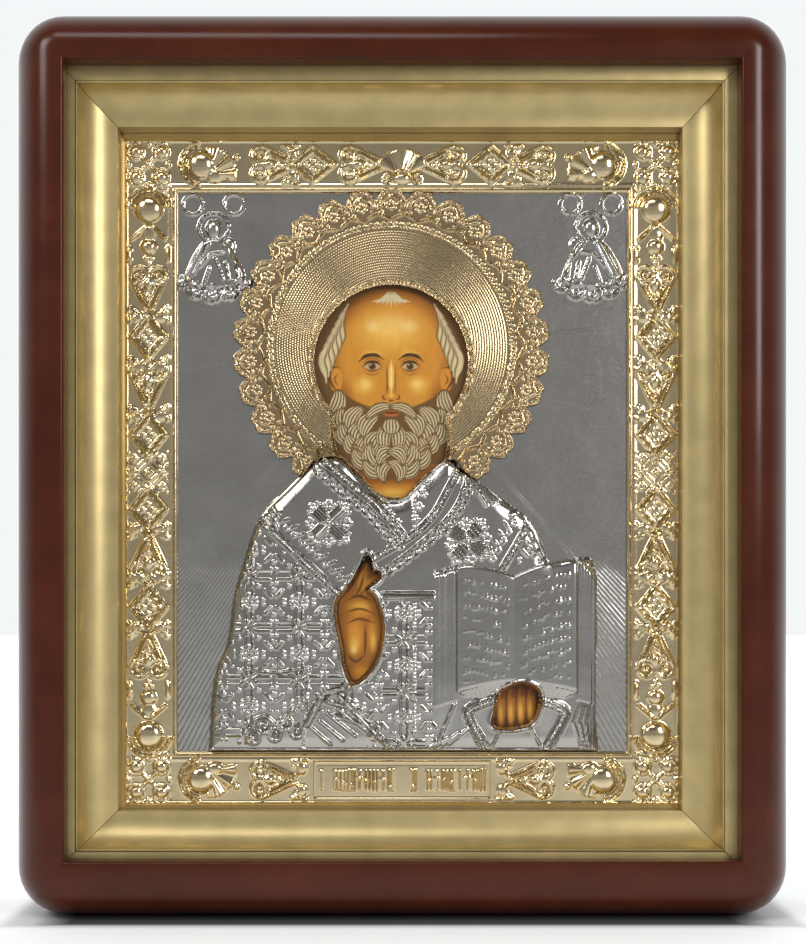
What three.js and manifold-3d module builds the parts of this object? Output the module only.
// A small icon in an open wooden case: a round-fronted wooden frame, a mitred moulding inside it,
// and a painted board under three stamped metal sheets: an ornamented border, a figure cover and a halo.
//
// Panel coordinates, in millimetres: x to the right, y up and z towards the viewer. The origin is at the
// middle of the underside. The last lines turn the whole panel so that y becomes +Z and the front faces -Y.
import * as THREE from "three";
import { mergeVertices } from "three/addons/utils/BufferGeometryUtils.js";
import Module from "manifold-3d";

const wasm = await Module();
wasm.setup();

// ---------------------------------------------------------------- driving dimensions
const GAP = 0.3; // clearance left between separate pieces

const CASE = {
  width: 257,
  height: 300,
  depth: 50,
  nose: 15, // how far the rounded front edge reaches in from the outline
  noseDepth: 21, // how far back the rounding starts
  noseSteps: 7,
  corner: 17, // outer corner radius
  rail: 18.9, // face width of the sides
  head: 19.8, // face width of the top rail
  sill: 20.6, // face width of the bottom rail
  lip: 6.5, // thickness of the front lip
  wall: 14.1, // side wall behind the lip
  sillWall: 15.8,
  headWall: 13,
  backWall: 10.5, // side wall beside the back board
  backRebate: 4,
  backEdge: 1.5,
};
const FRONT = CASE.depth / 2;

const LINER = {
  x: -0.8,
  y: 149.1,
  halfWidth: 113,
  halfHeight: 132.9,
  strip: 7, // flat outer strip, up to the arris
  arris: 0.6,
  coveWidth: 10.9,
  coveDepth: 9.4,
  edge: 0.4, // narrow flat at the inner edge of the cove
  depth: 34,
  rebate: 11.5, // width of the moulding beside the icon board
  front: FRONT - CASE.lip - GAP,
};

const ICON = {
  x: -0.1,
  y: 148.6,
  width: 200,
  height: 240,
  thickness: 18,
  front: 2.2, // z of the painted face
  sheet: 0.5, // thickness of a metal sheet
};
const SHEET_BACK = ICON.front + GAP;
const SHEET_FRONT = SHEET_BACK + ICON.sheet;

const BORDER = {
  halfWidth: 98.5,
  halfHeight: 118.5,
  windowHalfWidth: 75.9,
  windowHalfHeight: 94.4,
  band: 17.5, // from the outer rim to the window
  rim: 1.2,
  relief: 1.1,
};

const HALO = {
  x: -3.6,
  y: 42.5,
  tip: 53.7,
  valley: 50,
  scallops: 30,
  stepsEach: 6, // points along each scallop
  lobePower: 0.7, // below one, the lobes are blunt and the notches sharp
  field: 40,
  fieldRim: 1.2,
  collar: 9, // width of the raised collar round the head
  lift: 1.0,
  sheet: 0.6,
  cutFit: 0.4, // clearance round the head
};
const HEAD = { x: -3.7, y: 37.1, radius: 25.6 };

// Heights of what is pressed into the silver cover.
const PRESSED = {
  robe: 2.2,
  robeEdge: 1,
  stole: 0.8,
  crossedStole: 1,
  hanging: 0.6,
  seam: 0.9,
  cross: 0.6,
  fold: 0.8,
  book: 1.6,
  leaf: 0.5,
  cloud: 1.0,
};
const SINK = 0.1; // how deep a motif stands in what carries it

const BACK_BOARD = { thickness: 3 };

// ---------------------------------------------------------------- materials
function material(color, roughness, metalness) {
  return new THREE.MeshStandardMaterial({ color, roughness, metalness });
}
const WOOD = material(0x5e2c1c, 0.35, 0);
const LINER_GOLD = material(0xc4a96c, 0.42, 0.9);
const SHEET_GOLD = material(0xc9a45c, 0.16, 1);
const SHEET_SILVER = material(0xb9b8b4, 0.2, 1);
const PAINT = material(0xb98335, 0.6, 0);
const HARDBOARD = material(0x7a5a3c, 0.8, 0);

// ---------------------------------------------------------------- solids
// A closed three.js geometry as a solid that can be joined and cut.
function solidOf(geometry) {
  const bare = geometry.clone();
  bare.deleteAttribute("normal");
  bare.deleteAttribute("uv");
  const merged = mergeVertices(bare, 1e-4);
  return new wasm.Manifold(
    new wasm.Mesh({
      numProp: 3,
      vertProperties: new Float32Array(merged.attributes.position.array),
      triVerts: new Uint32Array(merged.index.array),
    }),
  );
}

function geometryOf(solid) {
  const mesh = solid.getMesh();
  return new THREE.BufferGeometry()
    .setAttribute("position", new THREE.BufferAttribute(new Float32Array(mesh.vertProperties), 3))
    .setIndex(new THREE.BufferAttribute(new Uint32Array(mesh.triVerts), 1));
}

const join = (parts) => parts.reduce((a, b) => a.add(b));
const cut = (body, parts) => parts.reduce((a, b) => a.subtract(b), body);

function box(x0, x1, y0, y1, z0, z1) {
  const g = new THREE.BoxGeometry(x1 - x0, y1 - y0, z1 - z0);
  return solidOf(g.translate((x0 + x1) / 2, (y0 + y1) / 2, (z0 + z1) / 2));
}

// A shape raised from z0 to z1, with its upper edge rounded by edge.
function raised(shape, z0, z1, edge = 0, steps = 2, curveSegments = 6) {
  if (!edge) {
    const plain = new THREE.ExtrudeGeometry(shape, { depth: z1 - z0, bevelEnabled: false, curveSegments });
    return solidOf(plain.translate(0, 0, z0));
  }
  const g = new THREE.ExtrudeGeometry(shape, {
    depth: z1 - z0 - edge,
    bevelThickness: edge,
    bevelSize: edge,
    bevelOffset: -edge,
    bevelSegments: steps,
    curveSegments,
  });
  const both = solidOf(g.translate(0, 0, z0));
  return both.trimByPlane([0, 0, 1], z0);
}

const shapeOf = (points) => new THREE.Shape(points.map(([x, y]) => new THREE.Vector2(x, y)));

// A closed smooth outline through a few points, in steps of about the given length.
function smooth(points, perSpan = 4) {
  const curve = new THREE.CatmullRomCurve3(
    points.map(([x, y]) => new THREE.Vector3(x, y, 0)),
    true,
    "catmullrom",
    0.5,
  );
  return new THREE.Shape(
    curve
      .getPoints(points.length * perSpan)
      .slice(0, -1)
      .map((p) => new THREE.Vector2(p.x, p.y)),
  );
}

function rectangle(width, height, radius = 0) {
  const x = width / 2,
    y = height / 2,
    r = radius,
    s = new THREE.Shape();
  if (!r) return shapeOf([[-x, -y], [x, -y], [x, y], [-x, y]]);
  s.absarc(x - r, -y + r, r, -Math.PI / 2, 0);
  s.absarc(x - r, y - r, r, 0, Math.PI / 2);
  s.absarc(-x + r, y - r, r, Math.PI / 2, Math.PI);
  s.absarc(-x + r, -y + r, r, Math.PI, 1.5 * Math.PI);
  return s;
}

// A straight ridge of a given width from a to b.
function ridge(a, b, width, z0, z1) {
  const dx = b[0] - a[0],
    dy = b[1] - a[1],
    length = Math.hypot(dx, dy),
    nx = (-dy / length) * (width / 2),
    ny = (dx / length) * (width / 2);
  const outline = [
    [a[0] - nx, a[1] - ny],
    [b[0] - nx, b[1] - ny],
    [b[0] + nx, b[1] + ny],
    [a[0] + nx, a[1] + ny],
  ];
  return raised(shapeOf(outline), z0, z1);
}

// A row of ridges through a list of points.
function ridges(points, width, z0, z1) {
  return points.slice(1).map((p, i) => ridge(points[i], p, width, z0, z1));
}

// A boss: the part of a squashed ball that stands above z0.
function boss(x, y, rx, ry, z0, height) {
  const g = new THREE.SphereGeometry(1, rx > 2.5 ? 8 : 5, 4).scale(rx, ry, height);
  return solidOf(g.translate(x, y, z0)).trimByPlane([0, 0, 1], z0 - 0.1);
}

function named(name, solid, finish, parent) {
  const mesh = new THREE.Mesh(geometryOf(solid), finish);
  mesh.name = name;
  parent.add(mesh);
  return mesh;
}

// ---------------------------------------------------------------- the wooden case
function caseFrame() {
  const { width, height, depth, nose, noseDepth, corner } = CASE;
  const blank = new THREE.ExtrudeGeometry(rectangle(width - 2 * nose, height - 2 * nose, corner - nose), {
    depth: depth - noseDepth,
    bevelThickness: noseDepth,
    bevelSize: nose,
    bevelSegments: CASE.noseSteps,
    curveSegments: 6,
  }).translate(0, height / 2, -FRONT);
  const edge = CASE.backEdge;
  const softBack = new THREE.ExtrudeGeometry(rectangle(width - 2 * edge, height - 2 * edge, corner - edge), {
    depth,
    bevelThickness: edge,
    bevelSize: edge,
    bevelSegments: 2,
    curveSegments: 6,
  }).translate(0, height / 2, -FRONT + edge);
  const block = solidOf(blank).intersect(solidOf(softBack));

  const openX = width / 2 - CASE.rail,
    roomX = width / 2 - CASE.wall,
    backX = width / 2 - CASE.backWall,
    lipBack = FRONT - CASE.lip,
    backStep = -FRONT + CASE.backRebate;
  const thinner = CASE.wall - CASE.backWall;
  return cut(block, [
    box(-openX, openX, CASE.sill, height - CASE.head, lipBack - 1, FRONT + 1),
    box(-roomX, roomX, CASE.sillWall, height - CASE.headWall, backStep - 1, lipBack),
    box(-backX, backX, CASE.sillWall - thinner, height - CASE.headWall + thinner, -FRONT - 1, backStep),
  ]);
}

// ---------------------------------------------------------------- the mitred moulding
// Its section: u runs inwards from the outer edge, z towards the viewer.
function linerSection() {
  const { strip, arris, coveWidth, coveDepth, edge, front, depth, rebate } = LINER;
  const steps = 10,
    coveTop = front + arris * 0.6,
    coveEnd = strip + 0.4 + coveWidth,
    coveFloor = coveTop - coveDepth,
    inner = coveEnd + edge,
    points = [[0, front], [strip - 0.4, front], [strip, front + arris]];
  for (let i = 0; i <= steps; i++) {
    const t = (Math.PI / 2) * (i / steps);
    points.push([coveEnd - coveWidth * Math.cos(t), coveTop - coveDepth * Math.sin(t)]);
  }
  const seat = SHEET_FRONT + GAP,
    back = front - depth;
  points.push([inner, coveFloor], [inner, seat], [rebate, seat], [rebate, back], [0, back]);
  return points.reverse();
}

// One length with both ends cut at 45 degrees: a point u inwards ends u short of the outer corner.
function linerLength(halfLength, halfAcross, turn) {
  const section = shapeOf(linerSection());
  const g = new THREE.ExtrudeGeometry(section, { depth: 1, bevelEnabled: false });
  const p = g.attributes.position;
  for (let i = 0; i < p.count; i++) {
    const u = p.getX(i),
      z = p.getY(i),
      end = 2 * p.getZ(i) - 1;
    p.setXYZ(i, end * (halfLength - u - GAP / 2), u - halfAcross, z);
  }
  return solidOf(g.rotateZ(turn).translate(LINER.x, LINER.y, 0));
}

// ---------------------------------------------------------------- the stamped border
// Motifs stand on the sheet; each is drawn about its own centre, upright, and then placed.
const Z0 = SHEET_FRONT - SINK;
const Z1 = SHEET_FRONT + BORDER.relief;

function place(parts, x, y, turn = 0) {
  const degrees = (turn * 180) / Math.PI;
  return parts.map((s) => s.rotate([0, 0, degrees]).translate([x, y, 0]));
}

// A diamond frame with a small boss inside.
function diamond(halfWidth, halfHeight) {
  const corners = (w, h) => [[0, -h], [w, 0], [0, h], [-w, 0]];
  const frame = shapeOf(corners(halfWidth, halfHeight));
  frame.holes.push(new THREE.Path(shapeOf(corners(halfWidth - 1.6, halfHeight - 1.6)).getPoints()));
  return [raised(frame, Z0, Z1), boss(0, 0, 1.6, 1.6, Z0, 0.9)];
}

// A heart that points down: two curled lobes over a V.
function heart(halfWidth, height) {
  const lobe = halfWidth * 0.5;
  return [
    boss(-lobe, height * 0.22, lobe * 0.95, lobe, Z0, 1.3),
    boss(lobe, height * 0.22, lobe * 0.95, lobe, Z0, 1.3),
    raised(shapeOf([[-halfWidth, 0], [0, -height / 2], [halfWidth, 0], [0, 2 - height / 2]]), Z0, Z1),
  ];
}

// A swelling scroll: a ball, a hooked stem and a leaf.
function scroll() {
  const stem = shapeOf([
    [-6, 1], [-4.6, 1], [-3.2, 5.4], [0.4, 7.2], [5, 7.4], [5, 8.6], [-0.4, 8.6], [-4.6, 6.6],
  ]);
  return [boss(0, 2, 5, 5, Z0, 2), boss(0.5, -6.5, 2.6, 3.2, Z0, 1.4), raised(stem, Z0, Z1)];
}

// Four buds in a corner square.
function cornerBuds() {
  const buds = [];
  for (const [x, y] of [[-4, 4], [4, 4], [-4, -4], [4, -4]]) buds.push(boss(x, y, 2.2, 2.2, Z0, 1.3));
  return [...buds, boss(0, 0, 1.5, 1.5, Z0, 1)];
}

// A lattice of short crossing bars.
function lattice() {
  const bars = [];
  for (const s of [-3, 3]) {
    bars.push(ridge([-5.2, s - 5.2], [5.2, s + 5.2], 0.9, Z0, Z1));
    bars.push(ridge([-5.2, s + 5.2], [5.2, s - 5.2], 0.9, Z0, Z1));
  }
  return bars;
}

// A fan of short petals on a collar.
function fan() {
  const petals = [];
  for (let i = -2; i <= 2; i++) {
    const a = (i * Math.PI) / 9;
    const tip = [Math.sin(a) * 7.5, Math.cos(a) * 6.2 - 0.5];
    petals.push(ridge([Math.sin(a) * 1.5, -1], tip, 1.2, Z0, Z1 + 0.4));
  }
  return [...petals, boss(0, -3.5, 3.4, 2.2, Z0, 1.4)];
}

// Distances of the motifs from the middle of a side, and what stands there.
const COLUMN = [
  { at: 17, make: () => diamond(6, 6.6) },
  { at: 30, make: () => heart(6.6, 15) },
  { at: 44, make: () => diamond(6, 7.6) },
  { at: 58.5, make: () => heart(6.6, 15) },
  { at: 85, make: scroll },
];
const ROW = [
  { at: 31, make: () => diamond(6, 9) },
  { at: 48, make: () => heart(6.6, 15) },
  { at: 66.5, make: scroll },
];

function rim(halfWidth, halfHeight, width, top) {
  const outer = rectangle(2 * halfWidth, 2 * halfHeight);
  outer.holes.push(new THREE.Path(rectangle(2 * (halfWidth - width), 2 * (halfHeight - width)).getPoints()));
  return raised(outer, Z0, top);
}

function border() {
  const { halfWidth, halfHeight, windowHalfWidth: wx, windowHalfHeight: wy, band, rim: rimWidth } = BORDER;
  const plateShape = rectangle(2 * halfWidth, 2 * halfHeight);
  plateShape.holes.push(new THREE.Path(rectangle(2 * wx, 2 * wy).getPoints()));
  const plate = raised(plateShape, SHEET_BACK, SHEET_FRONT);
  const midX = wx + band / 2 - 0.4,
    midY = wy + band / 2,
    parts = [plate, rim(wx + rimWidth, wy + rimWidth, rimWidth, SHEET_FRONT + 0.6)];
  parts.push(rim(wx + band, wy + band, 0.8, SHEET_FRONT + 0.5));

  for (const side of [-1, 1]) {
    parts.push(...place(lattice(), side * midX, 0));
    for (const end of [-1, 1]) {
      parts.push(...place(cornerBuds(), side * midX, end * midY));
      const flip = end > 0 ? 0 : Math.PI;
      for (const { at, make } of COLUMN) parts.push(...place(make(), side * midX, end * at, flip));
    }
    const across = (-side * Math.PI) / 2;
    for (const { at, make } of ROW) parts.push(...place(make(), side * at, midY, across));
    for (const { at, make } of ROW.slice(1)) parts.push(...place(make(), side * at, -midY, across));
  }
  parts.push(...place(fan(), 0, midY));
  parts.push(raised(rectangle(60, 11.5, 0.8), Z0, SHEET_FRONT + 0.5, 0.3, 1).translate([0, -midY, 0]));
  return join(parts);
}

// ---------------------------------------------------------------- the painted head and hands, as openings
// The head: round above, drawn in under the ears, and closed by the collar.
function headOpening(grow = 0) {
  const outline = [];
  const r = HEAD.radius + grow;
  for (let i = 0; i <= 20; i++) {
    const a = -0.32 + (i / 20) * (Math.PI + 0.5);
    outline.push([HEAD.x + r * Math.cos(a), HEAD.y + r * Math.sin(a)]);
  }
  const left = [[-24.6, 23], [-22.8, 19.9], [-22.8, 14.2], [-21.8, 7.4], [-18.9, 4.6]],
    collar = [
      [-12.9, -1.4], [-10.8, -4.5], [-7.7, -6.9], [-3.6, -8.2], [1.1, -7.2], [3.7, -5.1], [8, -0.4], [11.8, 2],
    ],
    right = [[14.4, 4.8], [15.1, 11.6], [14.8, 19.4], [16.9, 21.4]];
  outline.push(...left.map(([x, y]) => [x - grow, y]));
  outline.push(...collar);
  outline.push(...right.map(([x, y]) => [x + grow, y]));
  return shapeOf(outline);
}

// The raised hand, with two fingers up.
const RAISED_HAND = [
  [-11.8, -28], [-13.6, -32], [-17.2, -38.6], [-21.6, -43.6], [-21.6, -50.3], [-20, -58.9], [-19.1, -65.6],
  [-16, -71], [-9.7, -65.2], [-7, -56.5], [-7, -49.9], [-9.2, -42.6], [-12.2, -39.6], [-8.4, -36.4],
  [-7.9, -34.2], [-10.2, -33.6],
];

// The hand that holds the book.
const HOLDING_HAND = [
  [31, -85.4], [31.6, -81], [32.4, -75.6], [35.6, -73.2], [40.2, -71.6], [44.4, -72.8], [46, -75.6],
  [45.2, -80.8], [42.8, -84.6], [37, -86],
];

// ---------------------------------------------------------------- the figure cover
// The figure from its left hem round the shoulders and the book to its right hem.
const FIGURE = [
  [-65.3, -93.6], [-63.6, -70.3], [-58.9, -57.5], [-57, -43], [-52.9, -28.4], [-48.2, -15.4], [-38.9, -5.6],
  [-30, 3.2], [-26.4, 5.1], [-20, 4.4], [-13.6, -2], [-8, -8], [-3.6, -9.4], [1.6, -8],
  [9, -0.6], [15.4, 4.4], [20.8, 0.1], [32.7, -8.5], [41.8, -15.2], [47.5, -24.2], [50.2, -30.6],
  [60.6, -28.7], [65.6, -34.6], [65.3, -76], [66.3, -93.6],
];

// A cross with four flared arms.
function cross(x, y, arm, turn) {
  const t = arm * 0.28,
    w = arm * 0.42,
    outline = [];
  for (let i = 0; i < 4; i++) {
    const a = (i * Math.PI) / 2 + turn,
      c = Math.cos(a),
      s = Math.sin(a);
    for (const [u, v] of [[t, t * 0.6], [arm, w], [arm, -w], [t, -t * 0.6]].reverse())
      outline.push([x + u * c - v * s, y + u * s + v * c]);
  }
  return shapeOf(outline);
}

// A standing cloth band between two lists of points, rounded along both edges.
const band = (left, right, z0, z1) => raised(shapeOf([...left, ...right.slice().reverse()]), z0, z1, 0.4, 1);

function figureCover() {
  const plateTop = BORDER.windowHalfHeight - 1,
    side = BORDER.windowHalfWidth - GAP,
    plate = box(-side, side, GAP - BORDER.windowHalfHeight, plateTop, SHEET_BACK, SHEET_FRONT),
    robeTop = SHEET_FRONT + PRESSED.robe,
    onRobe = robeTop - SINK;
  const parts = [plate, raised(shapeOf(FIGURE), Z0, robeTop, PRESSED.robeEdge, 3)];

  // the stole: two bands from the shoulders that meet on the breast, and one that hangs down the front
  const onto = (height) => robeTop + height;
  const crossedLeft = [[13.6, 2], [7, -12.2], [-7, -25], [-10, -28]],
    crossedRight = [[20.5, 0], [15.5, -17], [1, -31.4], [-9, -33.2]];
  parts.push(band([[-26, 4.4], [-6, -20.4]], [[-19.4, 2.4], [-0.4, -15.6]], onRobe, onto(PRESSED.stole)));
  parts.push(band(crossedLeft, crossedRight, onRobe, onto(PRESSED.crossedStole)));
  parts.push(band([[-2, -42.6], [3, -93]], [[10.2, -42.6], [11, -93]], onRobe, onto(PRESSED.hanging)));
  parts.push(ridge([-9, -42.4], [10.4, -42.4], 1.2, onRobe, onto(PRESSED.crossedStole)));
  parts.push(...ridges([[-47.6, -16], [-35, -28], [-22.5, -40]], 1.6, onRobe, onto(PRESSED.seam)));

  // crosses over the robe: place, length of an arm, turn
  const crosses = [
    [-26, -16, 6, Math.PI / 4], [22.2, -22, 6, Math.PI / 4], [-47, -38, 5, 0], [-32, -50, 5, 0],
    [-49, -58, 5, 0], [-34, -74, 5, 0], [-51, -82, 5, 0], [2, -56, 4.4, 0], [0, -76, 4.4, 0],
  ];
  for (const [x, y, arm, turn] of crosses) {
    parts.push(raised(cross(x, y, arm, turn), onRobe, onto(PRESSED.cross)));
  }

  // sleeves: long folds that fall from the raised hand, and the cuff under the book
  const folds = [
    [[-16, -73], [-28, -86]],
    [[-16, -74], [-23, -92]],
    [[-15, -75], [-4, -86], [4, -93]],
    [[-16, -82], [-6, -92]],
    [[30, -84], [21, -93]],
    [[23, -80], [11, -93]],
    [[43, -88], [47, -93]],
    [[57, -82], [62, -92]],
  ];
  for (const fold of folds) parts.push(...ridges(fold, 1.5, onRobe, onto(PRESSED.fold)));

  // the open book: two leaves that rise to their outer edges, and the block of pages below them
  const page = (x0, x1, y0, y1, y2, y3) => shapeOf([[x0, y0], [x1, y1], [x1, y2], [x0, y3]]);
  const bookTop = onto(PRESSED.book),
    leafTop = bookTop + PRESSED.leaf,
    leftLeaves = [[11.6, -76.3], [26, -77.4], [33, -73.6], [19.4, -70.6]],
    rightLeaves = [[46, -73.6], [57, -76], [65, -76.6], [57.5, -70.3]];
  parts.push(raised(page(11, 38.2, -76, -72.6, -36, -33.4), onRobe, bookTop, 0.6, 2));
  parts.push(raised(page(38.2, 65.3, -72.6, -76, -34, -35.6), onRobe, bookTop, 0.6, 2));
  parts.push(raised(shapeOf(leftLeaves), onRobe, leafTop, 0.4, 1));
  parts.push(raised(shapeOf(rightLeaves), onRobe, leafTop, 0.4, 1));

  // two small seated figures in the upper corners, each on a bank of cloud
  for (const side of [-1, 1]) {
    const x = side * 63.8,
      gown = [[x - 3, 76], [x - 9, 60], [x - 6, 57.5], [x + 6, 57.5], [x + 9, 60], [x + 3, 76]];
    parts.push(boss(x, 79.4, 4.6, 4.8, SHEET_FRONT, 1.3));
    parts.push(raised(smooth(gown, 3), Z0, SHEET_FRONT + PRESSED.cloud, 0.4, 1));
    for (const d of [-6, 6]) parts.push(boss(x + d, 90, 3.3, 3.3, SHEET_FRONT, 0.9));
  }

  const holes = [headOpening(-0.1), shapeOf(RAISED_HAND), shapeOf(HOLDING_HAND)],
    below = SHEET_BACK - 2,
    above = SHEET_FRONT + 12;
  return cut(join(parts), holes.map((h) => raised(h, below, above)));
}

// ---------------------------------------------------------------- the halo
// Radius of the scalloped edge at angle a: a round lobe between two notches, all the way round.
function edgeRadius(a) {
  const lobe = Math.abs(Math.cos((a * HALO.scallops) / 2));
  return HALO.valley + (HALO.tip - HALO.valley) * Math.pow(lobe, HALO.lobePower);
}

function halo() {
  const steps = HALO.scallops * HALO.stepsEach,
    edge = [];
  for (let i = 0; i < steps; i++) {
    const fromTop = (2 * Math.PI * i) / steps,
      r = edgeRadius(fromTop);
    edge.push([HALO.x - r * Math.sin(fromTop), HALO.y + r * Math.cos(fromTop)]);
  }
  const z0 = SHEET_FRONT + HALO.lift,
    z1 = z0 + HALO.sheet,
    disc = raised(shapeOf(edge), z0, z1);
  const ring = (outer, inner, top) => {
    const s = new THREE.Shape().absarc(HALO.x, HALO.y, outer, 0, 2 * Math.PI);
    s.holes.push(new THREE.Path().absarc(HALO.x, HALO.y, inner, 0, 2 * Math.PI, true));
    return raised(s, z1 - SINK, top, 0.2, 1, 20);
  };
  const fieldRing = ring(HALO.field + HALO.fieldRim, HALO.field, z1 + 0.4),
    collarRing = ring(HEAD.radius + HALO.collar, HEAD.radius - 4, z1 + 0.3),
    whole = join([disc, fieldRing, collarRing]);
  // cut away round the head and, below it, along the shoulders
  const shoulders = [
    [-81, -100], [-63, -30], [-48.5, -14.2], [-39.4, -4.6], [-30.5, 4.2], [-26.2, 6.1],
    [-19.6, 5.2], [15.4, 5.6], [21.4, 1.2], [33.3, -7.4], [59, -30], [79, -100],
  ];
  const openings = [headOpening(HALO.cutFit), shapeOf(shoulders)];
  return cut(whole, openings.map((opening) => raised(opening, z0 - 2, z1 + 4)));
}

// ---------------------------------------------------------------- the scene
const panel = new THREE.Group();
named("case_frame", caseFrame(), WOOD, panel);

const across = [LINER.halfWidth, LINER.halfHeight];
named("liner_bottom", linerLength(across[0], across[1], 0), LINER_GOLD, panel);
named("liner_right", linerLength(across[1], across[0], Math.PI / 2), LINER_GOLD, panel);
named("liner_top", linerLength(across[0], across[1], Math.PI), LINER_GOLD, panel);
named("liner_left", linerLength(across[1], across[0], -Math.PI / 2), LINER_GOLD, panel);

const icon = new THREE.Group();
icon.position.set(ICON.x, ICON.y, 0);
const halfWidth = ICON.width / 2,
  halfHeight = ICON.height / 2,
  board = box(-halfWidth, halfWidth, -halfHeight, halfHeight, ICON.front - ICON.thickness, ICON.front);
named("icon_board", board, PAINT, icon);
named("border_sheet", border(), SHEET_GOLD, icon);
named("figure_cover", figureCover(), SHEET_SILVER, icon);
named("halo", halo(), SHEET_GOLD, icon);
panel.add(icon);

const backX = CASE.width / 2 - CASE.backWall - GAP,
  thinner = CASE.wall - CASE.backWall,
  backZ = -FRONT + CASE.backRebate - GAP;
named(
  "back_board",
  box(
    -backX,
    backX,
    CASE.sillWall - thinner + GAP,
    CASE.height - CASE.headWall + thinner - GAP,
    backZ - BACK_BOARD.thickness,
    backZ,
  ),
  HARDBOARD,
  panel,
);

const root = new THREE.Group();
panel.rotation.x = Math.PI / 2;
root.add(panel);
export default root;
